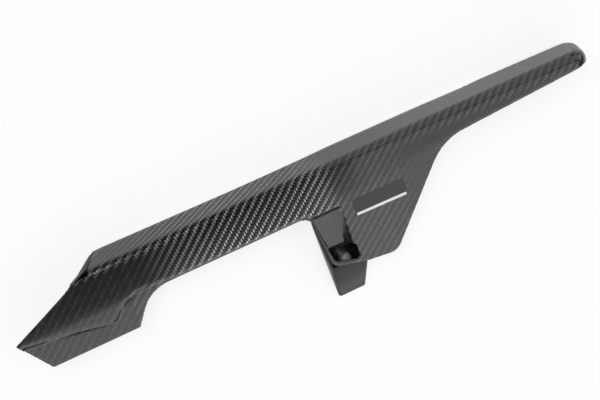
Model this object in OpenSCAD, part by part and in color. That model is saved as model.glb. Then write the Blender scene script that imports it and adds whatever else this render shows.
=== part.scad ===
// Left-hand chain guard of a motorcycle, moulded in carbon cloth.
// X runs to the rear wheel, Y inward to the swingarm and Z up. The origin is on the
// axis of the mounting bolt, in the face of the bracket that meets the swingarm.

/* [Cover] */
// Length ahead of the bolt, to the front tip
length_ahead = 275.5; // [262:0.5:290]
// Length behind the bolt, to the rounded rear end
length_behind = 259.5; // [240:0.5:280]
// Height of the ridge above the bolt
ridge_above_bolt = 91.5; // [84:0.5:98]
// Thickness of the moulded laminate
wall = 1.5; // [1:0.1:2]
// Width of the top at its front end, from the side face to its inner edge
top_front_w = 37.8; // [34:0.2:39]
// Width of the top where it is narrowest, ahead of the bolt
top_w = 33.8; // [31:0.2:35]
// Width of the top behind the bolt
top_mid_w = 37.2; // [35:0.2:38]
// Width of the top at the rear end
end_w = 35; // [32:0.5:36]
// Distance from the bolt forward to the narrowest place
narrow_ahead = 58; // [45:1:80]
// Distance from the bolt back to where the top is at its middle width
mid_behind = 19; // [10:1:40]
// Height of the side along the chain run
side_h = 36.8; // [34:0.1:39]
// Outer radius of the ridge ahead of the bolt
ridge_r = 5.5; // [3:0.25:6.5]
// Outer radius of the ridge at the rear end
nose_r = 10; // [8:0.25:12]
// Radius of the top's inner edge at the rear end
nose_edge_r = 3.5; // [2:0.25:5]
// Radius of the rear end's outer corner, seen from above
nose_near_r = 16; // [13:0.5:18]
// Radius of the rear end's inner corner, seen from above
nose_far_r = 9; // [7:0.5:12]
// Height of the side where the rear tongue starts
nose_h_start = 22.2; // [19:0.2:24]
// Height of the side at the rear end
nose_h_end = 12.8; // [11:0.2:15]
// Where the inner edge starts to turn down, ahead of the rear end
turn_l = 105; // [70:1:140]

/* [Front panel] */
// Length of the slanting front end of the top, along the guard
front_slant = 39; // [30:1:44]
// Distance from the front tip to where the top starts
top_back = 47; // [44:1:54]
// Length of the bevelled front end of the top, at the ridge
bevel_back = 67; // [60:1:74]
// Depth of the front tip below the ridge
tip_drop = 32; // [29:0.5:35]
// Depth of the panel's lower edge below the ridge
panel_drop = 63.5; // [58:0.5:70]
// Distance from the front tip to the panel's lower front corner
panel_front = 18.5; // [14:0.5:24]
// Distance from the front tip to the panel's lower rear corner
panel_rear = 93.5; // [88:0.5:98]
// Distance from the front tip to where the panel's rear edge meets the side
panel_top = 112; // [108:0.5:118]
// Distance from the front tip's corner down to the set-in panel's edge
set_in_drop = 4.5; // [3:0.25:8]
// How far that edge falls on its way to the rear
set_in_fall = 13.5; // [10:0.5:16]
// Distance from the front tip to where that edge turns up to the lower border
set_in_l = 79; // [74:0.5:84]
// How deep the lower panel is set in
joggle = 1.2; // [0.6:0.1:1.4]
// Height of the set-in band along the lower edge
band_h = 2.3; // [1.5:0.1:3.5]

/* [Web] */
// Depth of the web's lower corner below the ridge
web_drop = 100.6; // [94:0.1:106]
// Distance from the bolt to the web's lower rear corner
web_l = 43.8; // [34:0.1:48]
// Lean of the web's rear edge from the vertical
web_lean = 39.9; // [36:0.1:45]
// Distance from the bolt to where the web's lower edge levels out
web_level_x = 17; // [12:0.5:24]
// Radius between the web and the rear tongue
web_fillet = 45; // [25:1:50]

/* [Pocket] */
// Width of the pocket over the bolt
pocket_w = 23.5; // [20:0.5:25]
// Depth of the pocket where its ramp ends
pocket_d = 9; // [7:0.25:10]
// Height of the window below the ramp
window_h = 15; // [12:0.5:18]
// Distance from the side's lower edge down to the crease of the ramp
crease_drop = 1.2; // [0.5:0.1:2.5]
// Distance from the bolt forward to the pocket's front edge
rim_ahead = 21.1; // [20:0.1:22.5]
// Lean of the pocket's rear wall
pocket_lean = 30; // [10:1:40]
// Width of the rim left around the window
rim_w = 3.2; // [2.6:0.1:4.5]

/* [Bracket] */
// Distance from the side face to the mounting face
mount_depth = 16.5; // [15:0.25:19]
// Thickness of the bracket's laminate
bracket_wall = 1.6; // [1.2:0.1:2]
// How far the bracket reaches below the bolt
bracket_drop = 34.2; // [29:0.5:38]
// Width of the bracket behind the web
bracket_w = 40; // [38:0.5:43]
// Outer radius of the bracket's corners
bracket_r = 3.5; // [3:0.25:4]
// Width of the bracket at its foot
foot_w = 26; // [20:0.5:29]
// Distance from the bolt forward to the foot's front corner
foot_ahead = 15; // [12:0.5:17]
// How far the bracket's front wall stands behind the pocket's front edge
bracket_set_back = 0.4; // [0.2:0.1:1]
// How far that wall leans back on its way down
bracket_draft = 3.4; // [2:0.2:5]
// Height of the level part of the bracket's back wall above the bolt
bracket_level_h = 19.5; // [15:0.5:24]
// Thickness of the bracket at its foot
foot_d = 5; // [4.5:0.25:6.5]

/* [Bolt bush] */
// Bore of the bush, for an M6 bolt
bush_bore = 6.5; // [6.2:0.1:6.8]
// Outer diameter of the bush
bush_d = 10.5; // [9:0.25:12]
// Length of the bush
bush_l = 7; // [5:0.25:8]
// Glue gap around the bush
bush_gap = 0.1; // [0.05:0.05:0.2]

/* [Hidden] */
$fn = 48;
big = 400;
eps = 0.05;

full_w = end_w;
tip_x = -length_ahead;
end_x = length_behind;
nose_x = end_x - nose_near_r;
ridge_grow_x = -40;
turn_x = end_x - turn_l;
arc_steps = 10;

// Corner of the pocket at the ramp's crease, and the slope of its front edge
crease_z = -side_h - crease_drop;
rim_x = -rim_ahead;
rim_slope = 0.125;
pocket_x = rim_x + rim_w + pocket_w + 1.5;
window_z = -ridge_above_bolt;
ramp_end_z = window_z + window_h;
ramp_angle = atan(pocket_d / (crease_z - ramp_end_z));

// The side drawing has x along the guard and y up from the ridge
tongue_slope = (nose_h_start - nose_h_end) / (end_x - 110);
web_top_x = web_l + (web_drop - nose_h_start) * tan(web_lean);
rim_corner = [rim_x + (ridge_above_bolt - 3 - side_h) * rim_slope, window_z + 3];

// Front end of the top: its inner corner, and where the bevel meets the ridge and the tip
bevel_a = [tip_x + top_back + front_slant, top_front_w, 0];
bevel_b = [tip_x + bevel_back, 0, 0];
bevel_c = [tip_x, 0, -tip_drop];
bevel_n = let (n = cross(bevel_b - bevel_a, bevel_c - bevel_a)) n / norm(n) * sign(n[2]);

function unit(v) = v / norm(v);
function flat(v) = [v[0], v[1]];

// Points of the arc of radius r that rounds corner b of the path a, b, c
function corner(a, b, c, r) = let (
    u = unit(a - b), v = unit(c - b),
    half = acos(max(-1, min(1, u * v))) / 2,
    centre = b + unit(u + v) * r / sin(half),
    p = b + u * r / tan(half) - centre, q = b + v * r / tan(half) - centre,
    from = atan2(p[1], p[0]), turn = atan2(p[0] * q[1] - p[1] * q[0], p * q)
) [for (i = [0:arc_steps]) centre + r * [cos(from + turn * i / arc_steps), sin(from + turn * i / arc_steps)]];

// Outline through corners [x, y, radius], each rounded where its radius is above 0
function rounded(c) = [for (i = [0:len(c) - 1]) let (
    a = flat(c[(i + len(c) - 1) % len(c)]), b = flat(c[i]), d = flat(c[(i + 1) % len(c)])
) each (c[i][2] > 0 ? corner(a, b, d, c[i][2]) : [b])];

function cover_side() = rounded([
    [tip_x - 20, 5, 0],
    [tip_x - 4, -tip_drop + 2, 0],
    [tip_x, -tip_drop - 2, 0],
    [tip_x + panel_front, -panel_drop, 3],
    [tip_x + panel_rear, -panel_drop, 2],
    [tip_x + panel_top, -side_h, 28],
    [rim_x, -side_h, 7],
    [rim_corner[0], rim_corner[1], 9],
    [web_level_x, web_low_z(web_level_x), 20],
    [web_l, -web_drop, 13],
    [web_top_x, -nose_h_start, web_fillet],
    [end_x + 20, -nose_h_end + 20 * tongue_slope, 0],
    [end_x + 20, 5, 0]]);

// Lower edge of the web behind the window, at x
function web_low_z(x) = window_z - rim_w - (x + 10) * 0.09;

function panel_outline() = rounded([
    [tip_x - 20, -tip_drop - set_in_drop, 0],
    [tip_x + 0.6 * set_in_l, -tip_drop - set_in_drop - 0.45 * set_in_fall, 60],
    [tip_x + set_in_l, -tip_drop - set_in_drop - set_in_fall, 5],
    [tip_x + set_in_l + 12, -side_h + band_h + 0.3, 9],
    [tip_x + panel_top + 8, -side_h + band_h + 2, 12],
    [tip_x + panel_top + 23, -side_h + band_h, 12],
    [rim_x - 9, -side_h + band_h, 0],
    [rim_x - 3, -side_h - 2, 0],
    [rim_x - 3, -panel_drop - 10, 0],
    [tip_x - 20, -panel_drop - 10, 0]]);

function pocket_outline() = rounded([
    [rim_x + 1, crease_z, 1],
    [rim_corner[0] + rim_w, rim_corner[1] + rim_w, 6],
    [pocket_x + 4, window_z, 3],
    [pocket_x, crease_z, 3]]);

function top_outline() = [
    [tip_x - 20, -5], [tip_x - 20, wall + joggle], [tip_x + top_back + 2.5, wall + joggle],
    [bevel_a[0], top_front_w], [-narrow_ahead, top_w], [0, (top_w + top_mid_w) / 2],
    [mid_behind, top_mid_w], [turn_x - 50, top_mid_w], [turn_x - 1, full_w],
    [end_x + 5, full_w], [end_x + 5, -5]];

// Prism of a side drawing, from y0 inward to y1
module across(y0, y1) {
    translate([0, y1, 0]) rotate([90, 0, 0]) linear_extrude(y1 - y0) children();
}

// Thin slice of the cover's closed section, set in by d, with its two top radii
module section(x, d, near_r, far_r) {
    bottom = -web_drop - 10 - d;
    n = max(near_r - d, eps);
    f = max(far_r - d, eps);
    translate([x, 0, 0]) rotate([90, 0, 90]) linear_extrude(eps) polygon([
        [d, bottom],
        each [for (i = [0:arc_steps]) [d + n - n * cos(90 * i / arc_steps), -d - n + n * sin(90 * i / arc_steps)]],
        each [for (i = [0:arc_steps]) [full_w - d - f + f * sin(90 * i / arc_steps),
            -d - f + f * cos(90 * i / arc_steps)]],
        [full_w - d, bottom]]);
}

// Round corner of the rear end, of radius out from above and edge_r at its top, set in by d
module end_corner(y, out, edge_r, d) {
    r = edge_r - d;
    translate([end_x - out, y, 0]) rotate_extrude() polygon([
        [0, -web_drop - 10 - d],
        [out - d, -web_drop - 10 - d],
        each [for (i = [0:arc_steps]) [out - edge_r + r * cos(90 * i / arc_steps), -edge_r + r * sin(90 * i / arc_steps)]],
        [0, -d]]);
}

// Pocket over the bolt, as the cut that it makes in the form that is set in by d
module pocket(d) {
    floor_y = pocket_d + d;
    ramp_y = d / cos(ramp_angle);
    intersection() {
        across(-5, mount_depth) offset(delta = d) polygon(pocket_outline());
        translate([-big / 2, 0, 0]) rotate([90, 0, 90]) linear_extrude(big) polygon([
            [-5, crease_z + 10],
            [ramp_y - 10 * tan(ramp_angle), crease_z + 10],
            [floor_y, crease_z - (floor_y - ramp_y) / tan(ramp_angle)],
            [floor_y, window_z - 20],
            [-5, window_z - 20]]);
        translate([pocket_x + 1, 0, window_z - 20]) rotate([0, 0, pocket_lean])
            translate([d - big, -40, 0]) cube([big, 80, web_drop]);
    }
}

// Everything behind the cover's face, set in by d
module form(d) {
    difference() {
        hull() {
            section(tip_x - 20, d, ridge_r, 0);
            section(ridge_grow_x, d, ridge_r, 0);
            section(turn_x, d, ridge_r + (nose_r - ridge_r) * (turn_x - ridge_grow_x) / (nose_x - ridge_grow_x), 0);
            end_corner(nose_near_r, nose_near_r, nose_r, d);
            end_corner(full_w - nose_far_r, nose_far_r, nose_edge_r, d);
        }
        translate(bevel_a) rotate([0, acos(bevel_n[2]), atan2(bevel_n[1], bevel_n[0])])
            translate([-big, -big, -d]) cube([2 * big, 2 * big, big]);
        across(-5, d + joggle) translate([0, d]) polygon(panel_outline());
        pocket(d);
    }
}

module cover() {
    color("#2b2d30") translate([0, -mount_depth, ridge_above_bolt]) difference() {
        intersection() {
            union() {
                form(0);
                // The top reaches past the rear end's width
                translate([bevel_a[0] - 1, full_w - 2, -wall]) cube([turn_x - bevel_a[0], 8, wall]);
            }
            across(-1, full_w + 7) polygon(cover_side());
            translate([0, 0, -web_drop - 5]) linear_extrude(web_drop + 10) polygon(top_outline());
        }
        form(wall);
        // The inner side is open, apart from the turned-down end
        translate([tip_x - 20, full_w / 2, -web_drop - 10])
            cube([turn_x - tip_x + 20, full_w, web_drop + 10 - wall]);
        across(full_w / 2, full_w + 1) polygon([
            [turn_x - 1, -wall - 0.3], [turn_x + 10, -wall - 0.5], [nose_x, -nose_h_end - (end_x - nose_x) * tongue_slope],
            [end_x + 5, -nose_h_end], [end_x + 5, -web_drop - 5], [turn_x - 1, -web_drop - 5]]);
        // Window between the ramp and the rim
        intersection() {
            across(-1, mount_depth) polygon(pocket_outline());
            translate([-big / 2, -2, window_z - 10]) cube([big, mount_depth, ramp_end_z - window_z + 10]);
        }
        intersection() {
            across(wall, mount_depth) offset(delta = wall + eps) polygon(pocket_outline());
            translate([rim_x + rim_w + 7, 0, window_z - 10]) cube([pocket_w - 4, mount_depth, 16]);
        }
    }
}

// Bracket as a solid scoop of rounded corners, smaller by d all round
module bracket_form(d) {
    r = bracket_r - d;
    front_x = rim_x + bracket_set_back;
    rear_x = front_x + bracket_w;
    foot_r = foot_d / 2;
    hull() {
        // Foot
        for (x = [foot_r - foot_ahead, foot_w - foot_r - foot_ahead])
            translate([x, -foot_r, foot_r - bracket_drop]) sphere(foot_r - d, $fn = 24);
        // Where the front wall leaves the web, and the top of the back wall
        for (x = [front_x + bracket_draft + bracket_r, rear_x - bracket_r]) {
            translate([x, bracket_r - 0.5 - mount_depth, 2.5]) sphere(r, $fn = 24);
            translate([x + (x < 0 ? 0.6 : 0), -bracket_r, bracket_level_h]) sphere(r, $fn = 24);
        }
        // Slope from the back wall to the web, up to the pocket's crease
        for (x = [front_x + bracket_r, rear_x - bracket_r]) {
            translate([x + (x < 0 ? 1.6 : 0), -mount_depth / 2, bracket_level_h + 15]) sphere(r, $fn = 24);
            translate([x, 2 - mount_depth, ridge_above_bolt + crease_z - 6]) sphere(r, $fn = 24);
        }
    }
}

module bracket() {
    color("#34363a") difference() {
        bracket_form(0);
        bracket_form(bracket_wall);
        translate([-big / 2, -mount_depth + wall - big, -big / 2]) cube([big, big, big]);
        translate([0, -mount_depth, ridge_above_bolt]) pocket(wall + 0.1);
        translate([0, 5, 0]) rotate([90, 0, 0]) cylinder(h = 15, d = bush_d + 2 * bush_gap);
    }
}

module bolt_bush() {
    color("#b9bbbd") rotate([90, 0, 0]) difference() {
        cylinder(h = bush_l, d = bush_d);
        translate([0, 0, -1]) cylinder(h = bush_l + 2, d = bush_bore);
    }
}

cover();
bracket();
bolt_bush();
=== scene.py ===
from math import atan2, exp, pi, radians

import bmesh
import bpy
from mathutils import Matrix, Vector


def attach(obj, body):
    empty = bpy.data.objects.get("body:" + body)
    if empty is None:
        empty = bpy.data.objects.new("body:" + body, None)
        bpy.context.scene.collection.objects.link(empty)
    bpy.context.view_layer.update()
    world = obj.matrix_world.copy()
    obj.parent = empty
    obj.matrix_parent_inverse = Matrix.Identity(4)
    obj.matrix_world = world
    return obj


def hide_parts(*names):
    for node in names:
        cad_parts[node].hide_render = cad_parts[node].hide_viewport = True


MM = 0.001

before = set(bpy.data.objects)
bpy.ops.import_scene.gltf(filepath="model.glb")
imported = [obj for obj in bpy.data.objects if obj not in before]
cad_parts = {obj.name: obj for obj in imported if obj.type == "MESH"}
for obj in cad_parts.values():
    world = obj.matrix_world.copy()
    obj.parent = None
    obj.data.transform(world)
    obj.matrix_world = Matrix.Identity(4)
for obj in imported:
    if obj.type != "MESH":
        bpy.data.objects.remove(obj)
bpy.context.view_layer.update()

# Sizes of the cover in millimetres. Its outer side, its top, and the width of its closed rear end
SIDE_Y = -16.5
RIDGE_Z = 91.5
REAR_W = 35.0
# Outer radius of the ridge, which grows from GROW_X to NOSE_X, where the rear end starts to turn
RIDGE_R = 5.5
END_R = 10.0
GROW_X = -40.0
NOSE_X = 243.5
END_X = 259.5
# Radius of the rear end's inner corner
FAR_R = 9.0
# Height of the side, what is left of it at the rear end, and where and over what length it tapers
SIDE_H = 36.8
SIDE_H_REAR = 13.0
TAPER_X = 60.0
TAPER_L = 190.0
# How far the side bows in towards the ridge, and how far from the side the bow reaches
BOW = 2.3
BOW_REACH = 14.0
# Inner front corner of the top, and how far the front end's bevel runs from it, across and ahead
CORNER_X = -189.5
CORNER_Y = 21.3
BEVEL_ACROSS = 22.2
BEVEL_AHEAD = 14.6
# Where the rear end starts to swell, by how much, and over what length
SWELL_X = 246.0
SWELL = 2.0
SWELL_L = 12.0
# Depths of the lip along the side's lower edge, of the joggle's groove and of the crease
LIP_DEEP = 0.6
JOGGLE_DEEP = 0.22
CREASE_DEEP = 1.2
# Spacing of the cuts that make the cover a fine grid, along the guard and across it
CUT_ALONG = 1.4
CUT_ACROSS = 1.3
# The joggle round the front's set-in panel, along and up the side
JOGGLE = [
    Vector(place) for place in (
        (-272.0, 55.6), (-234.7, 49.9), (-201.6, 43.5), (-197.2, 44.6), (-192.3, 50.0),
        (-185.3, 55.1), (-176.0, 59.0), (-165.5, 60.0),
    )
]
# The crease where the pocket's ramp leaves the side, and the side's lower edge, by their heights
CREASE_Z = 53.2
LOWER_Z = 58.4

# Width of one tow of the cloth in millimetres: the 2x2 twill repeats every four tows
TOW = 2.0
# Degrees that the cloth lies off the guard's length
CLOTH_LIE = 3.0
# How far the filaments reflect as a metal does
FILAMENT_METAL = 0.85


def linear(hex_colour):
    """sRGB hex colour as linear RGBA."""
    out = []
    for k in (1, 3, 5):
        c = int(hex_colour[k:k + 2], 16) / 255
        out.append(c / 12.92 if c <= 0.04045 else ((c + 0.055) / 1.055) ** 2.4)
    return (*out, 1.0)


def clamped(value):
    return min(1.0, max(0.0, value))


def feed(tree, made, inputs):
    """Gives inputs of a node a value each, or the output of another node that feeds it."""
    for key, value in inputs.items():
        if isinstance(value, bpy.types.NodeSocket):
            tree.links.new(value, made.inputs[key])
        else:
            made.inputs[key].default_value = value


def node(tree, kind, inputs=None, out=0, **settings):
    """Adds one shader node with its settings and links, and gives one output, or all for None."""
    made = tree.nodes.new("ShaderNode" + kind)
    for name, value in settings.items():
        setattr(made, name, value)
    feed(tree, made, inputs or {})
    return made.outputs if out is None else made.outputs[out]


def material(name):
    made = bpy.data.materials.new(name)
    made.use_nodes = True
    return made, made.node_tree, made.node_tree.nodes["Principled BSDF"]


def within(tree, strength, *edges):
    """Strength past every edge and 0 outside. An edge is an output, where it starts and is full."""
    share = strength
    for value, start, full in edges:
        turn = node(
            tree, "MapRange", {0: value, 1: start, 2: full, 3: 0.0, 4: 1.0},
            interpolation_type="SMOOTHSTEP",
        )
        share = node(tree, "Math", {0: turn, 1: share}, operation="MULTIPLY")
    return share


def painted_sheen_by_place(tree, x, y, z):
    """How clearly the weave and its painted sheen show at a place in metres, from 0 where they are
    turned down to 1.

    Also gives how light the filaments that run across are painted, and a painted shade by place
    that darkens or lightens all of them.
    """
    # The painted sheen of the weave is turned down over the front below its top, and a little less
    # so low on the side
    front = within(tree, 0.965, (x, -0.080, -0.170), (z, 0.0895, 0.0845))
    eased_low_on_side = node(
        tree, "MapRange", {0: z, 1: 0.066, 2: 0.054, 3: 1.0, 4: 0.94},
        interpolation_type="SMOOTHSTEP",
    )
    hidden = node(tree, "Math", {0: front, 1: eased_low_on_side}, operation="MULTIPLY")
    rear_top = within(tree, 0.95, (x, 0.020, 0.140), (y, -0.010, -0.004))
    tongue = within(tree, 0.12, (x, 0.040, 0.090), (z, 0.083, 0.078), (y, -0.012, -0.014))
    web = within(tree, 0.87, (x, -0.020, 0.014))
    pocket = ((z, 0.056, 0.053), (x, -0.032, -0.024))
    for zone in (
        rear_top,
        # Top of the front and of the middle
        within(tree, 0.8, (x, -0.100, -0.180)),
        within(tree, 0.90, (x, -0.030, 0.010), (y, -0.010, -0.004)),
        # Set-in panel at the front
        within(tree, 0.955, (x, -0.150, -0.185), (z, 0.078, 0.062)),
        # Web, and the side behind it
        node(tree, "Math", {0: web, 1: tongue}, operation="ADD"),
        # Inside of the pocket, and its rim
        within(tree, 1.0, (y, -0.0162, -0.0150), *pocket),
        within(tree, 1.0, (x, 0.009, 0.005), *pocket),
        # Lip along the side's lower edge
        within(tree, 1.0, (z, 0.0585, 0.0570), (x, -0.018, -0.024), (x, -0.165, -0.150)),
    ):
        hidden = node(tree, "Math", {0: hidden, 1: zone}, operation="MAXIMUM")
    shown = node(tree, "Math", {0: 1.0, 1: hidden}, operation="SUBTRACT")
    across = node(tree, "Mix", {0: rear_top, 2: 0.02, 3: 0.20}, data_type="FLOAT")
    # Painted shade: the side is painted darker up by the ridge than at its lower edge, and the top
    # and the rear get one even tone
    low = within(tree, 0.48, (z, 0.084, 0.055))
    painted_side_shade = node(tree, "Math", {0: low, 1: 0.67}, operation="ADD")
    elsewhere = node(
        tree, "Math",
        {0: within(tree, 1.0, (y, -0.010, -0.004)), 1: within(tree, 1.0, (x, -0.050, 0.010))},
        operation="MAXIMUM",
    )
    tone = node(tree, "Mix", {0: elsewhere, 2: painted_side_shade, 3: 0.93}, data_type="FLOAT")
    return shown, across, tone


def carbon(name, warp_sheen_colour, weft, gap, relief_height, coat_roughness, coat):
    """Clear-coated 2x2 twill carbon, with its relief in millimetres, and painted sheen: the warp is
    given a paler colour than the weft, though both are the same fibre.
    """
    made, tree, shader = material(name)
    cloth = node(tree, "UVMap", uv_map="cloth")
    turned = node(
        tree, "Mapping", {0: cloth, 2: (0, 0, radians(CLOTH_LIE)), 3: (1 / TOW, 1 / TOW, 1)}
    )
    along, over, _ = node(tree, "SeparateXYZ", {0: turned}, out=None)
    # Tows are never quite straight: they sway by a quarter of their width over some ten of them
    drift = node(tree, "TexNoise", {0: turned, 2: 0.09, 3: 1.0})
    sway = node(tree, "Math", {0: drift, 1: 0.5, 2: -0.25}, operation="MULTIPLY_ADD")
    u = node(tree, "Math", {0: along, 1: sway}, operation="ADD")
    v = node(tree, "Math", {0: over, 1: sway}, operation="ADD")
    column = node(tree, "Math", {0: u}, operation="FLOOR")
    row = node(tree, "Math", {0: v}, operation="FLOOR")
    # Place in the twill's repeat of four tows, of each tow and along each kind of tow
    repeat = []
    for a, b in ((column, row), (column, v), (u, row)):
        apart = node(tree, "Math", {0: a, 1: b}, operation="SUBTRACT")
        share = node(tree, "Math", {0: apart, 1: 4.0}, operation="DIVIDE")
        repeat.append(node(tree, "Math", {0: share}, operation="FRACT"))
    step, along_warp, along_weft = repeat
    warp_up = node(tree, "Math", {0: step, 1: 0.5}, operation="LESS_THAN")
    in_column = node(tree, "Math", {0: u}, operation="FRACT")
    in_row = node(tree, "Math", {0: v}, operation="FRACT")
    # Round section of the tow that lies on top
    in_tow = node(tree, "Mix", {0: warp_up, 2: in_row, 3: in_column}, data_type="FLOAT")
    off = node(tree, "Math", {0: in_tow, 1: 2.0, 2: -1.0}, operation="MULTIPLY_ADD")
    off_square = node(tree, "Math", {0: off, 1: off}, operation="MULTIPLY")
    crown = node(tree, "Math", {0: 1.0, 1: off_square}, operation="SUBTRACT")
    # How high that tow rides along its float, 1 in the middle and -1 where it dives under
    turn_warp = node(tree, "Math", {0: along_warp, 1: 2 * pi}, operation="MULTIPLY")
    turn_weft = node(
        tree, "Math", {0: along_weft, 1: 2 * pi, 2: -1.5 * pi}, operation="MULTIPLY_ADD"
    )
    ride_warp = node(tree, "Math", {0: turn_warp}, operation="COSINE")
    ride_weft = node(tree, "Math", {0: turn_weft}, operation="COSINE")
    ride = node(tree, "Mix", {0: warp_up, 2: ride_weft, 3: ride_warp}, data_type="FLOAT")
    # A filament is 0.007 mm thick, too fine to show, so strands of 0.2 mm are drawn along each tow
    fine_warp = node(tree, "Mapping", {0: turned, 3: (9.0, 0.6, 1)})
    fine_weft = node(tree, "Mapping", {0: turned, 3: (0.6, 9.0, 1)})
    strand_warp = node(tree, "TexNoise", {0: fine_warp, 2: 1.0, 3: 2.0})
    strand_weft = node(tree, "TexNoise", {0: fine_weft, 2: 1.0, 3: 2.0})
    strand = node(tree, "Mix", {0: warp_up, 2: strand_weft, 3: strand_warp}, data_type="FLOAT")
    # Each tow lies at its own angle, so that some catch more light
    tow_number = node(tree, "Mix", {0: warp_up, 2: row, 3: column}, data_type="FLOAT")
    tow_key = node(tree, "CombineXYZ", {0: tow_number, 1: warp_up})
    chance = node(tree, "TexWhiteNoise", {0: tow_key})
    tow_tone = node(tree, "Math", {0: chance, 1: 0.35, 2: 0.82}, operation="MULTIPLY_ADD")
    strand_tone = node(tree, "Math", {0: strand, 1: 0.7, 2: 0.65}, operation="MULTIPLY_ADD")
    tone = node(tree, "Math", {0: tow_tone, 1: strand_tone}, operation="MULTIPLY")
    place = node(tree, "TexCoord", out="Object")
    x, y, z = node(tree, "SeparateXYZ", {0: place}, out=None)
    shown, across, painted_place_shade = painted_sheen_by_place(tree, x, y, z)
    # The tows' tone takes the painted shade by place
    tone = node(tree, "Math", {0: tone, 1: painted_place_shade}, operation="MULTIPLY")
    # Painted highlight: a tow along the warp is painted light in the middle of its float and dark
    # where it dives into the gap
    high = node(tree, "Math", {0: ride, 1: 0.75, 2: 0.25}, operation="MULTIPLY_ADD")
    float_height = node(tree, "Math", {0: crown, 1: high}, operation="MULTIPLY")
    lit = within(tree, 1.0, (float_height, 0.25, 1.0))
    edge = node(tree, "Mix", {0: warp_up, 2: 1.0, 3: lit}, data_type="FLOAT")
    # Painted sheen: where it shows, the tows along the warp take the warp's pale colour
    seen = node(tree, "Mix", {0: shown, 2: across, 3: warp_up}, data_type="FLOAT")
    tow_colour = node(
        tree, "Mix", {0: seen, 6: linear(weft), 7: linear(warp_sheen_colour)}, out=2, data_type="RGBA"
    )
    toned = node(tree, "VectorMath", {0: tow_colour, 1: tone}, operation="MULTIPLY")
    gap_shown = node(tree, "Mix", {0: shown, 2: 0.45, 3: 1.0}, data_type="FLOAT")
    deep = node(
        tree, "Mix", {0: gap_shown, 6: toned, 7: linear(gap)}, out=2, data_type="RGBA"
    )
    woven = node(tree, "Mix", {0: edge, 6: deep, 7: toned}, out=2, data_type="RGBA")
    # Painted dark reflection: the facet at the front end is painted near-black and left without a
    # clear coat
    normal = node(tree, "NewGeometry", out="Normal")
    facing_x, _, facing_z = node(tree, "SeparateXYZ", {0: normal}, out=None)
    ahead = node(tree, "Math", {0: y, 1: -0.40, 2: x}, operation="MULTIPLY_ADD")
    bevel = within(tree, 1.0, (facing_x, -0.30, -0.50), (z, 0.078, 0.082))
    upward = within(tree, 1.0, (facing_z, 0.30, 0.55))
    faced = node(tree, "Math", {0: bevel, 1: upward}, operation="MAXIMUM")
    painted_dark_facet = within(tree, faced, (ahead, -0.1972, -0.1988))
    colour = node(
        tree, "Mix", {0: painted_dark_facet, 6: woven, 7: linear("#060606")}, out=2, data_type="RGBA"
    )
    # Painted shade: the coat is turned down on the front's top, to darken its reflection
    painted_dim_top = within(tree, 0.30, (x, -0.090, -0.150), (facing_z, 0.80, 0.95))
    coat_turned_down = node(tree, "Math", {0: painted_dark_facet, 1: painted_dim_top}, operation="MAXIMUM")
    coat_weight = node(tree, "Math", {0: coat_turned_down, 1: -coat, 2: coat}, operation="MULTIPLY_ADD")
    metal = node(tree, "Mix", {0: shown, 2: 0.15, 3: FILAMENT_METAL}, data_type="FLOAT")
    metallic = node(tree, "Mix", {0: painted_dark_facet, 2: metal, 3: 0.0}, data_type="FLOAT")
    crown_part = node(tree, "Math", {0: crown, 1: 0.6}, operation="MULTIPLY")
    ride_part = node(tree, "Math", {0: ride, 1: 0.4}, operation="MULTIPLY")
    height = node(tree, "Math", {0: crown_part, 1: ride_part}, operation="ADD")
    strength = node(tree, "Mix", {0: shown, 2: 0.12, 3: 1.0}, data_type="FLOAT")
    relief = node(
        tree, "Bump", {"Height": height, "Strength": strength, "Distance": relief_height * MM}
    )
    feed(tree, shader, {
        "Base Color": colour,
        "Metallic": metallic,
        "Roughness": 0.42,
        "Specular IOR Level": 0.25,
        "Specular Tint": linear("#1c1c1c"),
        "Normal": relief,
        # Filaments stretch the gloss along themselves, so it turns by a quarter from warp to weft
        "Anisotropic": 0.75,
        "Anisotropic Rotation": node(tree, "Math", {0: warp_up, 1: 0.25}, operation="MULTIPLY"),
        "Tangent": node(tree, "Tangent", direction_type="UV_MAP", uv_map="cloth"),
        "Coat Weight": coat_weight,
        "Coat Roughness": coat_roughness,
        "Coat IOR": 1.5,
        "Coat Normal": relief,
    })
    return made


def turned_aluminium():
    """Bare aluminium with the fine rings that a lathe leaves round its axis."""
    made, tree, shader = material("turned aluminium")
    place = node(tree, "TexCoord", out="Object")
    x, y, z = node(tree, "SeparateXYZ", {0: place}, out=None)
    square_x = node(tree, "Math", {0: x, 1: x}, operation="MULTIPLY")
    square = node(tree, "Math", {0: z, 1: z, 2: square_x}, operation="MULTIPLY_ADD")
    radius = node(tree, "Math", {0: square}, operation="SQRT")
    reach = node(tree, "Math", {0: radius, 1: y}, operation="ADD")
    # A real ring is 0.1 mm wide, too fine to show, so it is drawn 0.6 mm wide
    turns = node(tree, "Math", {0: reach, 1: 2 * pi / (0.6 * MM)}, operation="MULTIPLY")
    ring = node(tree, "Math", {0: turns}, operation="SINE")
    # Handling leaves soft clouds of some 2 mm in the gloss
    cloud = node(tree, "TexNoise", {0: place, 2: 1 / (2.0 * MM), 3: 2.0})
    feed(tree, shader, {
        "Base Color": node(
            tree, "Mix", {0: cloud, 6: linear("#d4d4d8"), 7: linear("#ececec")}, out=2,
            data_type="RGBA",
        ),
        "Metallic": 1.0,
        "Roughness": node(tree, "Mix", {0: cloud, 2: 0.34, 3: 0.50}, data_type="FLOAT"),
        "Normal": node(tree, "Bump", {"Height": ring, "Distance": 0.01 * MM}),
    })
    return made


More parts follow.
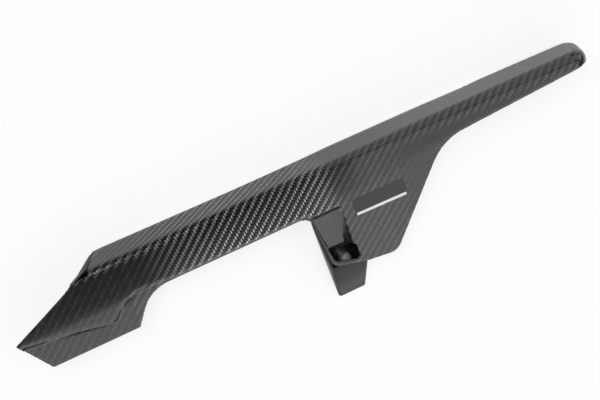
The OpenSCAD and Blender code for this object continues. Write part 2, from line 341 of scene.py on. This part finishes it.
def printed_film(name, dark, light, roughness, coat):
    """Vinyl film: the ink's fine grain changes its colour a little, and its gloss a little more."""
    made, tree, shader = material(name)
    place = node(tree, "TexCoord", out="Object")
    # The grain is 0.2 mm, too fine to show, so it is drawn at 1.5 mm
    grain = node(tree, "TexNoise", {0: place, 2: 1 / (1.5 * MM), 3: 3.0})
    feed(tree, shader, {
        "Base Color": node(
            tree, "Mix", {0: grain, 6: linear(dark), 7: linear(light)}, out=2, data_type="RGBA"
        ),
        "Roughness": node(
            tree, "Mix", {0: grain, 2: roughness - 0.07, 3: roughness + 0.07}, data_type="FLOAT"
        ),
        "Normal": node(
            tree, "Bump", {"Height": grain, "Strength": 0.3, "Distance": 0.02 * MM}
        ),
        "Coat Weight": coat,
    })
    return made


# Woven and moulded twill carbon under a thick clear coat: fine light ribs of painted sheen on the
# warp tows that run up to the rear and wrap over the ridge, under a gloss as deep as lacquer
carbon_twill = carbon(
    "clear-coated twill carbon", "#b4b0ad", "#131313", "#080808", 0.11, 0.11, 1.0
)
# The bracket's moulded carbon lies under more resin, so that it looks like satin black plastic
carbon_smooth = carbon(
    "smooth resin-rich carbon", "#191919", "#151515", "#101010", 0.02, 0.28, 0.5
)
# Turned aluminium of the bolt bush: pale, with rings that break up its gloss
bush_metal = turned_aluminium()
# Printed vinyl film of the sticker: a dull dark field, and a pale stripe with a little more gloss
film_dark = printed_film("dark printed film", "#151517", "#202022", 0.36, 0.0)
film_pale = printed_film("pale printed stripe", "#c0beb9", "#d2d0cb", 0.35, 0.5)


def ridge_radius(x):
    """Outer radius of the ridge at x."""
    return RIDGE_R + (END_R - RIDGE_R) * clamped((x - GROW_X) / (NOSE_X - GROW_X))


def cloth_place(p):
    """Where a point of the cover lies on the cloth, in millimetres along and across the ridge."""
    x = p.x / MM
    r = ridge_radius(x)
    y = p.y / MM - SIDE_Y - r
    z = p.z / MM - RIDGE_Z + r
    quarter = pi * r / 4
    if y < 0 and z > 0:
        across = r * (atan2(z, -y) - pi / 4)
    elif z <= 0 and (y < 0 or -z > y):
        across = -quarter + z
    else:
        across = quarter + y
    return x, across


def round_the_end(p):
    """Distance along the cover's wall from the near corner round the rear end, in millimetres."""
    x = p.x / MM - NOSE_X
    y = p.y / MM - SIDE_Y
    near = END_X - NOSE_X
    if y < near:
        return near * atan2(max(x, 0.0), near - y)
    far = REAR_W - FAR_R
    if y < far:
        return near * pi / 2 + y - near
    turn = atan2(y - far, max(p.x / MM - (END_X - FAR_R), 0.001))
    return near * pi / 2 + far - near + FAR_R * turn - min(x + near - FAR_R, 0.0)


def side_height(x):
    """Height of the cover's side at x, without the panel and the web."""
    return SIDE_H + (SIDE_H_REAR - SIDE_H) * clamped((x - TAPER_X) / TAPER_L)


def from_joggle(place):
    """Distance of a point of the side from the joggle's line, in millimetres."""
    point = Vector((place.x, place.z)) / MM
    nearest = 1000.0
    for a, b in zip(JOGGLE, JOGGLE[1:]):
        share = clamped((point - a).dot(b - a) / (b - a).length_squared)
        nearest = min(nearest, (a.lerp(b, share) - point).length)
    return nearest


def by_joggle(face):
    """Whether a face of the side lies by the joggle."""
    middle = face.calc_center_median()
    return middle.x < -0.160 and middle.y < -0.0125 and from_joggle(middle) < 3.0


def by_crease(face):
    """Whether a face lies by the pocket's crease."""
    middle = face.calc_center_median()
    return -0.024 < middle.x < 0.014 and 0.048 < middle.z < 0.058


def by_lower_edge(face):
    """Whether a face lies as far along as the side's lower edge."""
    return -0.165 < face.calc_center_median().x < -0.019


def started(name, cad):
    """A new object and a bmesh of a CAD node's copy, with its loose triangles merged."""
    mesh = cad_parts[cad].data.copy()
    made = bpy.data.objects.new(name, mesh)
    bpy.context.scene.collection.objects.link(made)
    shape = bmesh.new()
    shape.from_mesh(mesh)
    bmesh.ops.remove_doubles(shape, verts=shape.verts, dist=0.00001)
    return made, shape


def finished(made, shape, cad, finish):
    """Gives the object its mesh and finish, and lets it stand for the CAD node."""
    shape.to_mesh(made.data)
    shape.free()
    made.data.materials.clear()
    made.data.materials.append(finish)
    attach(made, "root")
    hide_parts(cad)


def cut(shape, axis, places, near=None):
    """Cuts the faces that near accepts by planes across an axis, at places in millimetres."""
    normal = Vector((0, 0, 0))
    normal[axis] = 1
    faces = [f for f in shape.faces if near is None or near(f)]
    for place in places:
        point = normal * place * MM
        cross = []
        rest = []
        for f in faces:
            side = [v.co[axis] - point[axis] for v in f.verts]
            if min(side) < -0.000001 and max(side) > 0.000001:
                cross.append(f)
            else:
                rest.append(f)
        if not cross:
            continue
        parts = set(cross)
        parts.update(e for f in cross for e in f.edges)
        parts.update(v for f in cross for v in f.verts)
        out = bmesh.ops.bisect_plane(
            shape, geom=list(parts), dist=0.0000005, plane_co=point, plane_no=normal
        )
        kept = set(g for g in out["geom"] if isinstance(g, bmesh.types.BMFace))
        faces = rest + list(kept)


def steps(low, high, step):
    """Places from low to high, a step apart."""
    return [low + step * k for k in range(int((high - low) / step) + 1)]


def cut_cover(shape):
    """Cuts the cover into a fine grid, finer by the joggle, the crease and the lower edge."""
    bmesh.ops.dissolve_limit(
        shape, angle_limit=radians(0.05), verts=shape.verts, edges=shape.edges
    )
    cut(shape, 0, steps(-275.0, 259.0, CUT_ALONG))
    cut(shape, 2, steps(-8.0, 88.0, CUT_ACROSS), lambda f: abs(f.normal.z) < 0.8)
    cut(shape, 1, steps(-9.0, 18.0, CUT_ACROSS), lambda f: abs(f.normal.y) < 0.6)
    cut(shape, 1, (-16.0, -15.5), lambda f: abs(f.normal.y) < 0.6)
    cut(shape, 2, (52.2, 52.7, 53.2, 53.7, 54.2, 54.7), by_crease)
    cut(shape, 2, (56.6, 57.4, 57.9, 58.4), by_lower_edge)
    cut(shape, 0, steps(-274.3, -160.0, CUT_ALONG), by_joggle)
    cut(shape, 2, steps(42.0, 63.0, CUT_ACROSS / 2), by_joggle)
    bmesh.ops.remove_doubles(shape, verts=shape.verts, dist=0.00022)


def lay_cloth(shape):
    """Lays the cloth's UV map on the cover, over the ridge and round the closed rear end."""
    cloth = shape.loops.layers.uv.new("cloth")
    for face in shape.faces:
        face.smooth = True
        wall = abs(face.normal.z) < 0.6 and face.calc_center_median().x > NOSE_X * MM
        for loop in face.loops:
            x, across = cloth_place(loop.vert.co)
            if wall:
                x = NOSE_X + round_the_end(loop.vert.co)
                across = -END_R * pi / 4 + loop.vert.co.z / MM - RIDGE_Z + END_R
            loop[cloth].uv = (x, across)


def soften_folds(shape):
    """Rounds the cover's folds as a mould does, and the pocket's rear wall most of all."""
    for k in range(3):
        bmesh.ops.smooth_vert(
            shape, verts=shape.verts, factor=0.5, use_axis_x=True, use_axis_y=True, use_axis_z=True
        )
    soft = [
        v for v in shape.verts
        if -0.002 < v.co.x < 0.016 and 0.012 < v.co.z < 0.057 and -0.0162 < v.co.y < -0.003
    ]
    for k in range(60):
        bmesh.ops.smooth_vert(
            shape, verts=soft, factor=0.5, use_axis_x=False, use_axis_y=True, use_axis_z=False
        )


def press_lines(shape):
    """Presses in the side's lip and its two grooves, which the mould leaves as fine lines."""
    for v in shape.verts:
        # A narrow lip along the side's lower edge
        if -0.165 < v.co.x < -0.019 and 0.054 < v.co.z < 0.060 and v.co.y < -0.0145:
            deep = LIP_DEEP * MM * min(1.0, (v.co.x + 0.165) / 0.025)
            v.co.y += deep * clamped(LOWER_Z - v.co.z / MM)
        # A shallow groove follows the joggle
        if v.co.x < -0.160 and v.co.y < -0.0125 and 0.040 < v.co.z < 0.064:
            v.co.y += JOGGLE_DEEP * MM * exp(-(from_joggle(v.co) / 1.3) ** 2)
        # A narrow groove along the crease where the ramp leaves the side
        if -0.0195 < v.co.x < 0.0065 and v.co.y < -0.0125:
            v.co.y += CREASE_DEEP * MM * exp(-((v.co.z / MM - CREASE_Z) / 0.85) ** 2)


def shape_ends(shape):
    """Straightens the front end's bevel and swells the closed rear end a little."""
    for v in shape.verts:
        x, y, z = v.co / MM
        # The bevel runs straight from the top's inner corner down to the ridge
        inward = (CORNER_Y - y) / BEVEL_ACROSS
        if 0 < inward < 0.93 and z > 84 and x < -185:
            near = clamped(1 - (x - CORNER_X + BEVEL_AHEAD * inward) / 4)
            v.co.x -= (1.2 + 9.8 * inward) * near * MM
            v.co.z -= 6.0 * inward * near * MM
        if x > SWELL_X:
            v.co.x += SWELL * min(1.0, (x - SWELL_X) / SWELL_L) * clamped((13 - y) / 10) * MM


def bow_side(shape):
    """The side isn't quite flat: it bows in towards the ridge, most at the front."""
    for v in shape.verts:
        x = v.co.x / MM
        in_from_side = v.co.y / MM - SIDE_Y
        high = side_height(x)
        up = (v.co.z / MM - RIDGE_Z + high) / high
        if up > 0 and in_from_side < BOW_REACH:
            bow = BOW * (1 - 0.5 * clamped((x + 20) / 50)) + clamped((-90 - x) / 110)
            v.co.y += bow * min(up, 1.0) ** 2 * (1 - in_from_side / BOW_REACH) * MM


def moulded_cover():
    """The CAD cover cut into a fine grid, with its cloth laid on and its folds softened."""
    made, shape = started("moulded_cover", "cover")
    cut_cover(shape)
    lay_cloth(shape)
    soften_folds(shape)
    press_lines(shape)
    shape_ends(shape)
    bow_side(shape)
    finished(made, shape, "cover", carbon_twill)


def merged_copy(name, cad, finish):
    """A copy of a CAD node with its loose triangles merged, smooth apart from its edges."""
    made, shape = started(name, cad)
    cloth = shape.loops.layers.uv.new("cloth")
    for face in shape.faces:
        face.smooth = True
        for loop in face.loops:
            loop[cloth].uv = cloth_place(loop.vert.co)
    for edge in shape.edges:
        edge.smooth = len(edge.link_faces) == 2 and edge.calc_face_angle(0) < radians(24)
    finished(made, shape, cad, finish)


def film(name, along, up, lean, corner, thick, finish):
    """Thin rounded piece of film on the web, over two spans in millimetres, leant in degrees."""
    mesh = bpy.data.meshes.new(name)
    made = bpy.data.objects.new(name, mesh)
    bpy.context.scene.collection.objects.link(made)
    shape = bmesh.new()
    middle = Vector((sum(along) / 2, SIDE_Y - thick / 2, sum(up) / 2)) * MM
    size = Vector((along[1] - along[0], thick, up[1] - up[0])) * MM
    place = Matrix.Translation(middle) @ Matrix.Rotation(radians(lean), 4, "Y")
    bmesh.ops.create_cube(shape, size=1, matrix=place @ Matrix.Diagonal((*size, 1)))
    upright = [
        e for e in shape.edges
        if abs((e.verts[0].co - e.verts[1].co).normalized().y) > 0.9
    ]
    bmesh.ops.bevel(
        shape, geom=upright, offset=corner * MM, segments=6, profile=0.5, affect="EDGES",
        material=-1,
    )
    shape.to_mesh(mesh)
    shape.free()
    mesh.materials.append(finish)
    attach(made, "root")


moulded_cover()
merged_copy("moulded_bracket", "bracket", carbon_smooth)
merged_copy("turned_bush", "bolt_bush", bush_metal)
film("sticker_field", (17.6, 66.6), (37.5, 53.5), 0.0, 1.0, 0.10, film_dark)
film("sticker_stripe", (18.6, 65.6), (37.9, 40.3), 1.2, 1.15, 0.16, film_pale)


def table_material():
    """Matt white table top that shows as white to the camera and in gloss, but keeps the shadow."""
    made = bpy.data.materials.new("white table that keeps the shadow")
    made.use_nodes = True
    tree = made.node_tree
    tree.nodes.clear()
    path = node(tree, "LightPath", out=None)
    camera_ray = path["Is Camera Ray"]
    seen = node(
        tree, "Math", {0: camera_ray, 1: path["Is Glossy Ray"]}, operation="MAXIMUM"
    )
    seen = node(
        tree, "Math", {0: seen, 1: path["Is Transmission Ray"]}, operation="MAXIMUM"
    )
    seen_share = node(tree, "Math", {0: seen, 1: 0.30}, operation="MULTIPLY")
    share = node(
        tree, "Math", {0: camera_ray, 1: 0.50, 2: seen_share}, operation="MULTIPLY_ADD"
    )
    # The glow fades where the guard is close, so that its shadow shows there
    open_sky = node(tree, "AmbientOcclusion", {"Distance": 0.03}, out="AO", samples=8)
    white = node(tree, "BsdfDiffuse", {0: linear("#e4e4e4")})
    glow = node(tree, "Emission", {0: (1, 1, 1, 1), 1: 1.0})
    lit = node(
        tree, "MixShader", {0: within(tree, share, (open_sky, 0.0, 0.6)), 1: white, 2: glow}
    )
    # Seen from below, the table isn't there
    below = node(tree, "NewGeometry", out="Backfacing")
    clear = node(tree, "BsdfTransparent")
    faced = node(tree, "MixShader", {0: below, 1: lit, 2: clear})
    node(tree, "OutputMaterial", {0: faced}, out=None)
    return made


def table_top():
    """The guard lies on its inner side, on the top's inner edge and the bracket's mounting face."""
    mesh = bpy.data.meshes.new("table_top")
    made = bpy.data.objects.new("table_top", mesh)
    bpy.context.scene.collection.objects.link(made)
    shape = bmesh.new()
    # Up from the table is against the part's Y, leaning with the guard
    up = Vector((0, -1, 0.172)).normalized()
    along = Vector((1, 0, 0))
    turn = Matrix((along, up.cross(along), up)).transposed().to_4x4()
    place = Matrix.Translation(Vector((0, 0.0003, -0.0342))) @ turn
    bmesh.ops.create_grid(shape, x_segments=1, y_segments=1, size=3.0, matrix=place)
    shape.to_mesh(mesh)
    shape.free()
    mesh.materials.append(table_material())
    return made


table_top()

# Camera, fitted to the photograph
RIGHT = Vector((0.8918, -0.3497, -0.2871))
UP = Vector((0.4052, 0.3347, 0.8508))
BACK = Vector((-0.2014, -0.8750, 0.4402))
camera = bpy.data.objects.new("camera", bpy.data.cameras.new("camera"))
bpy.context.scene.collection.objects.link(camera)
camera_turn = Matrix((RIGHT, UP, BACK)).transposed().to_4x4()
camera.matrix_world = Matrix.Translation((-0.2208, -0.8723, 0.5044)) @ camera_turn
camera.data.sensor_width = 36
camera.data.lens = 72
camera.data.clip_start = 0.05
camera.data.clip_end = 20
bpy.context.scene.camera = camera

# Point that the softboxes are turned to, in metres
AIM = Vector((0.0, 0.0, 0.04))


def softbox(name, place, size, radiance):
    """Soft rectangular lamp at a place in metres, of one radiance all over."""
    lamp = bpy.data.lights.new(name, "AREA")
    lamp.shape = "RECTANGLE"
    lamp.size, lamp.size_y = size
    lamp.energy = radiance * pi * lamp.size * lamp.size_y
    made = bpy.data.objects.new(name, lamp)
    bpy.context.scene.collection.objects.link(made)
    back = (Vector(place) - AIM).normalized()
    across = Vector((1, 0, 0)) - back * back.x
    across.normalize()
    turn = Matrix((across, back.cross(across), back)).transposed().to_4x4()
    made.matrix_world = Matrix.Translation(place) @ turn


softbox("key softbox", (-0.60, -1.30, 1.05), (0.8, 0.8), 10.0)
softbox("low front softbox", (0.29, -1.165, -1.175), (2.6, 1.3), 1.75)
softbox("strip softbox", (0.25, -0.45, -1.60), (2.4, 0.25), 3.5)
softbox("right wall softbox", (1.5, -0.5, 0.75), (1.0, 1.0), 1.1)
softbox("low left softbox", (-1.15, -1.00, -0.55), (0.8, 0.9), 1.3)
softbox("right fill softbox", (0.85, -1.36, 0.0), (1.0, 1.3), 1.2)
softbox("rear top softbox", (0.55, -0.36, 1.10), (0.6, 1.7), 0.9)

# A dim white room, which the camera sees as white paper
world = bpy.data.worlds.new("studio")
bpy.context.scene.world = world
world.use_nodes = True
sky = world.node_tree
sky.nodes.clear()
room = node(sky, "Background", {0: (1, 1, 1, 1), 1: 0.14})
paper = node(sky, "Background", {0: (1, 1, 1, 1), 1: 1.0})
camera_sees = node(sky, "LightPath", out="Is Camera Ray")
studio = node(sky, "MixShader", {0: camera_sees, 1: room, 2: paper})
node(sky, "OutputWorld", {0: studio}, out=None)

bpy.context.scene.view_settings.view_transform = "Standard"
